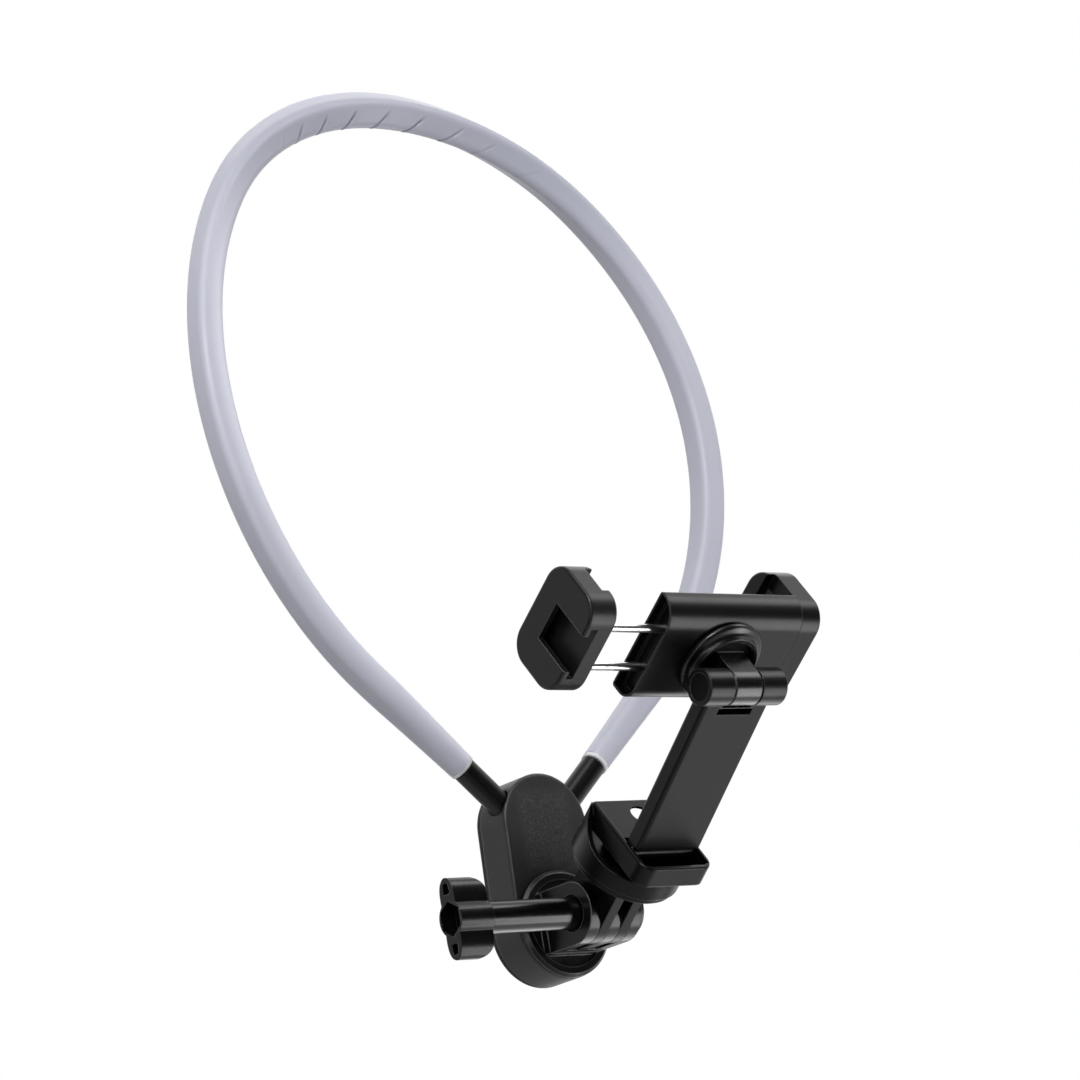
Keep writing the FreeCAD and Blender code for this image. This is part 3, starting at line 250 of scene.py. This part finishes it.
housing_lean = Matrix.Rotation(math.radians(-15.5), 4, "X")
crown_height = 0.24895
crown_radius = 0.0843
crown_turn = math.radians(52.3)
crown_twist = math.radians(38)
crown_swell = 0.13
twist_run = 0.14
side_radius = 0.11455
side_turn = math.radians(85.3)
tail_length = 0.0535
ferrule_reach = 0.0147
tail_run = tail_length - ferrule_reach
taper_run = 0.034
end_radius = 0.0042
cap_inset = 0.0005
band_width = 0.0086
band_depth = 0.0094
band_corner = 0.0025
corner_steps = 7
front_cuts = 17
other_cuts = 3
crown_steps = 240
side_steps = 84
tail_steps = 24
merge_gap = 0.000001

# The loop bows to the front: by how much at its foot, and then for its height, in millimetres.
millimetres = 1000
bow_at_foot = 10.4
bow_slope = 0.085
bow_curve = 0.00078

sleeve_mesh = bmesh.new()
along_layer = sleeve_mesh.verts.layers.float.new("along")
out_layer = sleeve_mesh.verts.layers.float.new("outward")
front_layer = sleeve_mesh.verts.layers.float.new("forward")
corners = [sleeve_mesh.verts.new((0, y * band_depth / 2, crown_height + z * band_width / 2))
           for y, z in ((-1, -1), (1, -1), (1, 1), (-1, 1))]
sleeve_mesh.faces.new(corners)
bmesh.ops.bevel(sleeve_mesh, geom=corners, offset=band_corner, offset_type="OFFSET",
                affect="VERTICES", segments=corner_steps, profile=0.5, material=-1)
long_sides = [edge for edge in sleeve_mesh.edges if edge.calc_length() > band_corner / 2]
front_line = -0.4 * band_depth
front_side = [edge for edge in long_sides if max(vert.co.y for vert in edge.verts) < front_line]
other_sides = [edge for edge in long_sides if edge not in front_side]
bmesh.ops.subdivide_edges(sleeve_mesh, edges=front_side, cuts=front_cuts)
bmesh.ops.subdivide_edges(sleeve_mesh, edges=other_sides, cuts=other_cuts)
bmesh.ops.delete(sleeve_mesh, geom=sleeve_mesh.faces[:], context="FACES_ONLY")
for vert in sleeve_mesh.verts:
    vert[out_layer] = (vert.co.z - crown_height) / (band_width / 2)
    vert[front_layer] = -vert.co.y / (band_depth / 2)


def pointing(turn):
    """The way from a bend's centre to the band, by its turn from straight up."""
    return Vector((math.sin(turn), 0, math.cos(turn)))


last_turn = crown_turn + side_turn
crown_centre = Vector((0, 0, crown_height - crown_radius))
side_centre = crown_centre + pointing(crown_turn) * (crown_radius - side_radius)
side_end = side_centre + side_radius * pointing(last_turn)
tail_way = Vector((math.cos(last_turn), 0, -math.sin(last_turn)))
crown_run = crown_radius * crown_turn
side_run = side_radius * side_turn
band_foot = side_end.z + tail_length * tail_way.z


def swept(rim, centre, turn, steps):
    """Turns the rim about a bend's centre, and gives the new rim."""
    turned = bmesh.ops.spin(sleeve_mesh, geom=rim, cent=centre, axis=(0, 1, 0), dvec=(0, 0, 0),
                            angle=turn, steps=steps, use_duplicate=False)
    return [item for item in turned["geom_last"] if isinstance(item, bmesh.types.BMEdge)]


rim = swept(sleeve_mesh.edges[:], crown_centre, crown_turn, crown_steps)
rim = swept(rim, side_centre, side_turn, side_steps)
for step in range(tail_steps):
    pulled = bmesh.ops.extrude_edge_only(sleeve_mesh, edges=rim)["geom"]
    rim = [item for item in pulled if isinstance(item, bmesh.types.BMEdge)]
    ring = [item for item in pulled if isinstance(item, bmesh.types.BMVert)]
    bmesh.ops.translate(sleeve_mesh, verts=ring, vec=tail_way * (tail_run / tail_steps))


def ramp(value, low, high):
    return min(max((value - low) / (high - low), 0), 1)


# Each point is placed by how far along the band it lies: the twist, the taper to a round end,
# then the bow.
for vert in sleeve_mesh.verts:
    spot = Vector((vert.co.x, 0, vert.co.z))
    from_crown = spot - crown_centre
    from_side = spot - side_centre
    turn_crown = math.atan2(from_crown.x, from_crown.z)
    turn_side = math.atan2(from_side.x, from_side.z)
    past = (spot - side_end).dot(tail_way)
    if past > 0:
        run = crown_run + side_run + past
        middle = side_end + tail_way * past
    elif turn_side > crown_turn:
        run = crown_run + side_radius * (turn_side - crown_turn)
        middle = side_centre + side_radius * pointing(turn_side)
    else:
        run = crown_radius * turn_crown
        middle = crown_centre + crown_radius * pointing(turn_crown)
    vert[along_layer] = run
    taper = ramp(past, tail_run - taper_run, tail_run)
    near_crown = max(1 - (run / twist_run) ** 2, 0) ** 2
    away = vert.co - middle
    away.rotate(Matrix.Rotation(crown_twist * near_crown, 3, "X"))
    away *= 1 + crown_swell * near_crown
    vert.co = middle + away.lerp(away.normalized() * end_radius, taper)
    rise = (middle.z - band_foot) * millimetres
    vert.co.y -= (bow_at_foot + bow_slope * rise - bow_curve * rise * rise) / millimetres
bmesh.ops.holes_fill(sleeve_mesh, edges=rim, sides=0)
end_cap = [face for face in sleeve_mesh.faces if len(face.verts) > 4]
bmesh.ops.inset_region(sleeve_mesh, faces=end_cap, thickness=cap_inset, depth=0)
half_band = sleeve_mesh.verts[:] + sleeve_mesh.edges[:] + sleeve_mesh.faces[:]
bmesh.ops.mirror(sleeve_mesh, geom=half_band, matrix=Matrix.Identity(4), merge_dist=merge_gap,
                 axis="X")
for vert in sleeve_mesh.verts:
    vert[along_layer] = math.copysign(vert[along_layer], vert.co.x)
bmesh.ops.recalc_face_normals(sleeve_mesh, faces=sleeve_mesh.faces[:])

# The creases curl up from the inner edge of the top bend, each a groove with a raised lip beside
# it. Each is given by its place along the band and its strength.
creases = ((-0.0490, 0.15), (-0.0398, 0.8), (-0.0288, 1.0), (-0.0170, 1.0), (-0.0045, 0.8),
           (0.0084, 1.0), (0.0223, 0.8), (0.0345, 0.3), (0.0515, 0.15))
crease_depth = 0.00045
crease_edges = (0.0002, 0.0007)
lip_height = 0.00015
lip_step = 0.0010
lip_edges = (0.0001, 0.0006)
front_edges = (0.2, 0.7)
outer_edges = (-0.1, 0.4)
climb_rate = 0.55
climb_start = 0.6
curl_on = 0.0110
curl_back = 0.0045
crease_layer = sleeve_mesh.verts.layers.float.new("crease")
lip_layer = sleeve_mesh.verts.layers.float.new("lip")
sleeve_mesh.normal_update()
sunk = {}
for vert in sleeve_mesh.verts:
    reach = ramp(vert[front_layer], *front_edges) * (1 - ramp(vert[out_layer], *outer_edges))
    climb = vert[out_layer] * climb_rate + climb_start
    for spot, share in creases:
        gap = vert[along_layer] - spot - climb * curl_on + climb * climb * curl_back
        vert[crease_layer] += reach * share * (1 - ramp(abs(gap), *crease_edges))
        vert[lip_layer] += reach * share * (1 - ramp(abs(gap - lip_step), *lip_edges))
    sunk[vert] = vert.normal * (lip_height * vert[lip_layer] - crease_depth * vert[crease_layer])
for vert, step in sunk.items():
    vert.co += step
bmesh.ops.transform(sleeve_mesh, matrix=housing_lean, verts=sleeve_mesh.verts[:])
for face in sleeve_mesh.faces:
    face.smooth = True


def add_object(name, data):
    thing = bpy.data.objects.new(name, data)
    bpy.context.scene.collection.objects.link(thing)
    return thing


def add_mesh(name, mesh_in, material):
    """Makes a finished mesh an object of one material."""
    mesh = bpy.data.meshes.new(name)
    mesh_in.to_mesh(mesh)
    mesh_in.free()
    mesh.materials.append(material)
    return add_object(name, mesh)


def keep_piece(name, mesh_in, material, *nodes):
    """Makes a finished mesh a piece that stands for the nodes."""
    piece = add_mesh(name, mesh_in, material)
    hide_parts(*nodes)
    return piece


# The sleeve's colours, and where along and across the band each of them lies.
band_dark = (0.475, 0.482, 0.567)
band_light = (0.575, 0.583, 0.672)
shade_colour = (0.41, 0.418, 0.495)
lit_colour = (0.72, 0.73, 0.83)
crease_colour = (0.14, 0.143, 0.18)
end_highlight_colour = (0.92, 0.92, 0.96)
top_fade = (0.04, 0.11)
right_start = (0.02, 0.08)
right_finish = (0.09, 0.15)
left_finish = (-0.15, -0.07)
inner_fade = (-0.6, 0.5)
end_highlight_start = (0.2852, 0.2855)
haze_scale = 30
dust_scale = 1800
sleeve_relief = 0.0004

band_silicone, place = start_finish("band_silicone")
run, outward, forward, crease, lip = (
    place.add("Attribute", {"attribute_name": name}, None, 2)
    for name in ("along", "outward", "forward", "crease", "lip"))
from_top = run.work("ABSOLUTE", run)
front_face = forward.between(*front_edges)
near_top = 1 - from_top.between(*top_fade)
right_side = run.between(*right_start) - run.between(*right_finish)
left_side = 1 - run.between(*left_finish)
inner_side = 1 - outward.between(*inner_fade)
# Painted shade darkens the front face near the top bend and just to its right, and the top face
# near the bend more faintly; painted light brightens the inner part of the front face down the
# left side.
shade = front_face * (near_top * 0.75 + right_side * 0.45) + (1 - front_face) * near_top * 0.3
left_light = front_face * inner_side * left_side * 0.9
# A painted highlight lies in a thin near-white ring about a millimetre from each end of the
# sleeve, by the ferrule.
end_highlight = from_top.between(*end_highlight_start)
haze = place.noise(haze_scale, 2)
dust = place.noise(dust_scale, 2)
# The crease grooves are painted darker, and the lips beside them are painted lighter as a painted
# highlight.
colour = (haze * 0.6 + dust * 0.25 + 0.1 + lip * 1.6).tint(band_dark, band_light)
for share, over in ((shade, shade_colour), (left_light, lit_colour),
                    (crease * 0.6, crease_colour), (end_highlight, end_highlight_colour)):
    colour = share.tint(colour, over)
gloss = 0.36 + haze * 0.06 + dust * 0.04
surface = place.add("Bump", None, {"Strength": 0.7, "Distance": sleeve_relief,
                                   "Height": dust * 0.03 - crease * 0.4 + lip * 0.2})
close_finish(place, {"Base Color": colour, "Roughness": gloss, "Normal": surface,
                     "Sheen Weight": 0.15, "Sheen Roughness": 0.5, "Subsurface Weight": 0.12,
                     "Subsurface Radius": (0.004, 0.004, 0.005), "Subsurface Scale": 0.5})
band = keep_piece("neck_band_sleeve", sleeve_mesh, band_silicone, "band_sleeve")
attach(band, "chest_base")

# Turntable: a stepped ring with a square foot and three fingers, moulded in one. It turns on
# the housing's front, held from inside by a washer and a screw; a nut sits in its right finger.

# The turntable's edges carry a strong painted highlight.
turntable_nylon = moulded_nylon(
    "turntable_nylon", dark=(0.0012, 0.0012, 0.0012), light=(0.0033, 0.0033, 0.0034),
    rough=0.3, grain=0.012, corner=0.0006, edge_highlight=2.5)
dress(turntable_nylon, "turntable", "turntable_washer")
dress(screw_steel, "turntable_screw", "captive_nut")

# Thumb screw: a long steel bolt with a glossy black coat, and a two-winged knob moulded on its
# end. It clamps the three fingers of the turntable on the two fingers of the tilt bracket.

knob_nylon = moulded_nylon(
    "knob_nylon", dark=(0.0012, 0.0012, 0.0012), light=(0.0033, 0.0033, 0.0034),
    rough=0.28, grain=0.01)
stem_black = moulded_nylon(
    "stem_black", dark=(0.0010, 0.0010, 0.0010), light=(0.0028, 0.0028, 0.0029),
    rough=0.24, grain=0.005, shine=0.5)
dress(knob_nylon, "thumb_knob")
dress(stem_black, "thumb_bolt")

# Tilt bracket and tray: the bracket's two fingers carry a round flange, and the tray turns
# on it by the dish moulded under its back end. The arm's hinge pin crosses the tray.

tray_nylon = moulded_nylon(
    "tray_nylon", dark=(0.0015, 0.0015, 0.0015), light=(0.0038, 0.0038, 0.0039),
    rough=0.33, grain=0.02, corner=0.0005, shine=0.25)
dress(tray_nylon, "tilt_bracket", "tray")
dress(screw_steel, "tray_pivot_screw", "arm_hinge_pin")

# Arm: a flat folding link, hinged in the tray, with two knuckles of the upper barrel hinge.
# A steel pin runs through the barrel under two pressed end caps.

arm_nylon = moulded_nylon(
    "arm_nylon", dark=(0.0016, 0.0016, 0.0016), light=(0.0041, 0.0041, 0.0042),
    rough=0.34, grain=0.025, corner=0.0005, shine=0.34)
cap_nylon = moulded_nylon(
    "cap_nylon", dark=(0.002, 0.002, 0.002), light=(0.005, 0.005, 0.0051),
    rough=0.6, grain=0.05, corner=0.0003, shine=0.15)
dress(arm_nylon, "arm")
dress(cap_nylon, "barrel_caps")
dress(screw_steel, "barrel_pin")

# Swivel head: the middle knuckle of the barrel, its tongue and the turned disc that the
# clamp turns on. A washer and a screw hold the disc from inside the clamp.

swivel_nylon = moulded_nylon(
    "swivel_nylon", dark=(0.0012, 0.0012, 0.0012), light=(0.0033, 0.0033, 0.0034),
    rough=0.28, grain=0.01, corner=0.0005, shine=0.58)
dress(swivel_nylon, "swivel_head", "swivel_washer")
dress(screw_steel, "swivel_screw")

# Clamp body: a curved shell, open at its left end, with a block inside that guides the rods.
# The right-hand jaw is moulded to its end, and soft rubber pads line the places that touch.

clamp_nylon = moulded_nylon(
    "clamp_nylon", dark=(0.0012, 0.0012, 0.0012), light=(0.0033, 0.0033, 0.0034),
    rough=0.33, grain=0.015, corner=0.0005, shine=0.37)
dress(clamp_nylon, "clamp_body", "rod_guide", "fixed_jaw")

rubber_dark = (0.012, 0.012, 0.012)
rubber_light = (0.034, 0.034, 0.035)
pebble_scale = 900
pebble_depth = 0.0003
pad_dust_scale = 1500
grip_rubber, place = start_finish("grip_rubber")
pebble = place.add("TexVoronoi", {"feature": "SMOOTH_F1"},
                   {"Vector": place, "Scale": pebble_scale, "Smoothness": 0.6})
dust = place.noise(pad_dust_scale, 2)
colour = (dust * 0.6 + pebble * 0.4).tint(rubber_dark, rubber_light)
surface = place.add("Bump", None, {"Strength": 0.25, "Distance": pebble_depth, "Height": pebble})
close_finish(place, {"Base Color": colour, "Roughness": 0.62 + dust * 0.16, "Normal": surface})
dress(grip_rubber, "fixed_jaw_pad", "back_pad", "moving_jaw_pad")

# Moving jaw: a moulded block with an accessory shoe in its outer face. It slides on two
# bright steel rods with end collars, pulled shut by the coil springs inside the clamp.

jaw_nylon = moulded_nylon(
    "jaw_nylon", dark=(0.0030, 0.0030, 0.0030), light=(0.0077, 0.0077, 0.0079),
    rough=0.38, grain=0.04, corner=0.0005, shine=0.5)
bright_rod = drawn_steel("bright_rod", dark=(0.62, 0.62, 0.63), light=(0.80, 0.80, 0.81),
                         rough=0.3, streak=1500)
spring_steel = drawn_steel("spring_steel", dark=(0.45, 0.45, 0.46), light=(0.65, 0.65, 0.66),
                           rough=0.24)
dress(jaw_nylon, "moving_jaw")
dress(bright_rod, "guide_rods", "rod_stops")

# The springs push the end collars away from the guide block, so they shorten as the jaw opens.
coil_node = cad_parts["return_springs"]
coil_mesh = bmesh.new()
coil_mesh.from_mesh(coil_node.data)
bmesh.ops.remove_doubles(coil_mesh, verts=coil_mesh.verts[:], dist=merge_gap)
bmesh.ops.transform(coil_mesh, matrix=coil_node.matrix_world, verts=coil_mesh.verts[:])
coils = keep_piece("return_coils", coil_mesh, spring_steel, "return_springs")
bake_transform(coils)

# Studio: a pale floor well below the worn object, a white background, soft lamps round the
# camera, and long lamps placed where the round pieces throw their light back to it. The camera
# has a long lens and stands to the left of the object's front.

view_turn = math.radians(38)
view_side = Vector((math.cos(view_turn), -math.sin(view_turn), 0))
view_front = Vector((-math.sin(view_turn), -math.cos(view_turn), 0))
up = Vector((0, 0, 1))


def spot_at(front, right, height):
    """A spot by how far it is towards the camera, to the camera's right and up."""
    return view_front * front + view_side * right + up * height


floor_half = 2.0
floor_level = -1.1
floor_glow = 0.68
floor_scale = 6
floor_paint, place = start_finish("floor_paint")
floor_colour = place.noise(floor_scale, 2).tint((0.82, 0.82, 0.82), (0.86, 0.86, 0.86))
floor_seen = place.add("LightPath").tint((0, 0, 0), (1, 1, 1))
close_finish(place, {"Base Color": floor_colour, "Roughness": 0.7,
                     "Emission Color": floor_seen, "Emission Strength": floor_glow})
floor_mesh = bmesh.new()
bmesh.ops.create_grid(floor_mesh, x_segments=4, y_segments=4, size=floor_half)
bmesh.ops.translate(floor_mesh, verts=floor_mesh.verts[:], vec=(0, 0, floor_level))
floor = add_mesh("floor", floor_mesh, floor_paint)

# The background is white to the camera. A reflection sees it white only from behind the object.
back_fade = (-0.15, 0.75)
front_white = 0.03
fill_white = 0.2
world = bpy.data.worlds.new("studio_white")
world.use_nodes = True
sky_tree = world.node_tree
sky_tree.nodes.clear()
rays = Wire(sky_tree, sky_tree.nodes.new("ShaderNodeLightPath").outputs["Is Camera Ray"])
shiny = rays.work("MAXIMUM", rays.beside("Is Glossy Ray"), rays.beside("Is Transmission Ray"))
sky = rays.add("TexCoord")
behind = rays.add("VectorMath", {"operation": "DOT_PRODUCT"}, {0: sky, 1: -view_front}, 1)
mirrored = behind.between(*back_fade) * (1 - front_white) + front_white
level = shiny * mirrored + (1 - shiny) * fill_white
light = rays.add("Background", None, {"Color": (1, 1, 1, 1),
                                      "Strength": rays + (1 - rays) * level})
rays.add("OutputWorld", None, {"Surface": light})
bpy.context.scene.world = world

lamp_aim = Vector((0, -0.03, 0.08))
lamp_reach = 1.45


def softbox(name, spot, upward, width, height, power):
    """A soft lamp at spot, turned to the object, with its height along upward."""
    lamp = bpy.data.lights.new(name, "AREA")
    lamp.shape = "RECTANGLE"
    lamp.size = width
    lamp.size_y = height
    lamp.energy = power
    box = add_object(name, lamp)
    box.visible_camera = False
    back = (spot - lamp_aim).normalized()
    across = upward.cross(back).normalized()
    facing = Matrix((across, back.cross(across), back)).transposed().to_4x4()
    box.matrix_world = Matrix.Translation(spot) @ facing


def shown_at(tilt):
    """Where the camera looks by way of a face that runs along x and is tilted up by tilt."""
    face = Vector((0, -math.cos(math.radians(tilt)), math.sin(math.radians(tilt))))
    return 2 * view_front.dot(face) * face - view_front


def long_lamp(name, low, high, width, power):
    """A lamp that lights the round pieces between two tilts of their faces."""
    upward = shown_at(high) - shown_at(low)
    spot = (shown_at(high) + shown_at(low)).normalized() * lamp_reach + lamp_aim
    softbox(name, spot, upward, width, upward.length * lamp_reach, power)


softbox("top_lamp", spot_at(0.5, -0.2, 1.4), view_front, width=0.9, height=0.7, power=4.8)
softbox("key_lamp", spot_at(1.05, -0.2, 1.1), up, width=0.4, height=0.4, power=10.3)
softbox("left_lamp", spot_at(0.9, -1.2, 0.5), up, width=0.4, height=1.0, power=1.2)
softbox("edge_lamp", Vector((-1.1, -0.88, 0.15)), up, width=0.12, height=1.2, power=3)
softbox("back_lamp", spot_at(-1.3, 0, 0.9), up, width=1.2, height=0.8, power=3)
long_lamp("high_right_lamp", low=28, high=44, width=0.55, power=3.8)
long_lamp("low_right_lamp", low=-30, high=-5, width=0.26, power=6.4)
long_lamp("under_right_lamp", low=-46, high=-31, width=0.35, power=0.4)
long_lamp("floor_lamp", low=-68, high=-46, width=0.4, power=3)

camera_data = bpy.data.cameras.new("photo_camera")
camera_data.sensor_width = 36
camera_data.sensor_fit = "HORIZONTAL"
camera_data.lens = 168.5
camera_data.shift_y = 0.0556
camera = add_object("photo_camera", camera_data)
camera.location = spot_at(1.5, 0.00415, 0.0864)
camera.rotation_euler = (-view_front).to_track_quat("-Z", "Y").to_euler()
bpy.context.scene.camera = camera
bpy.context.scene.view_settings.view_transform = "Standard"
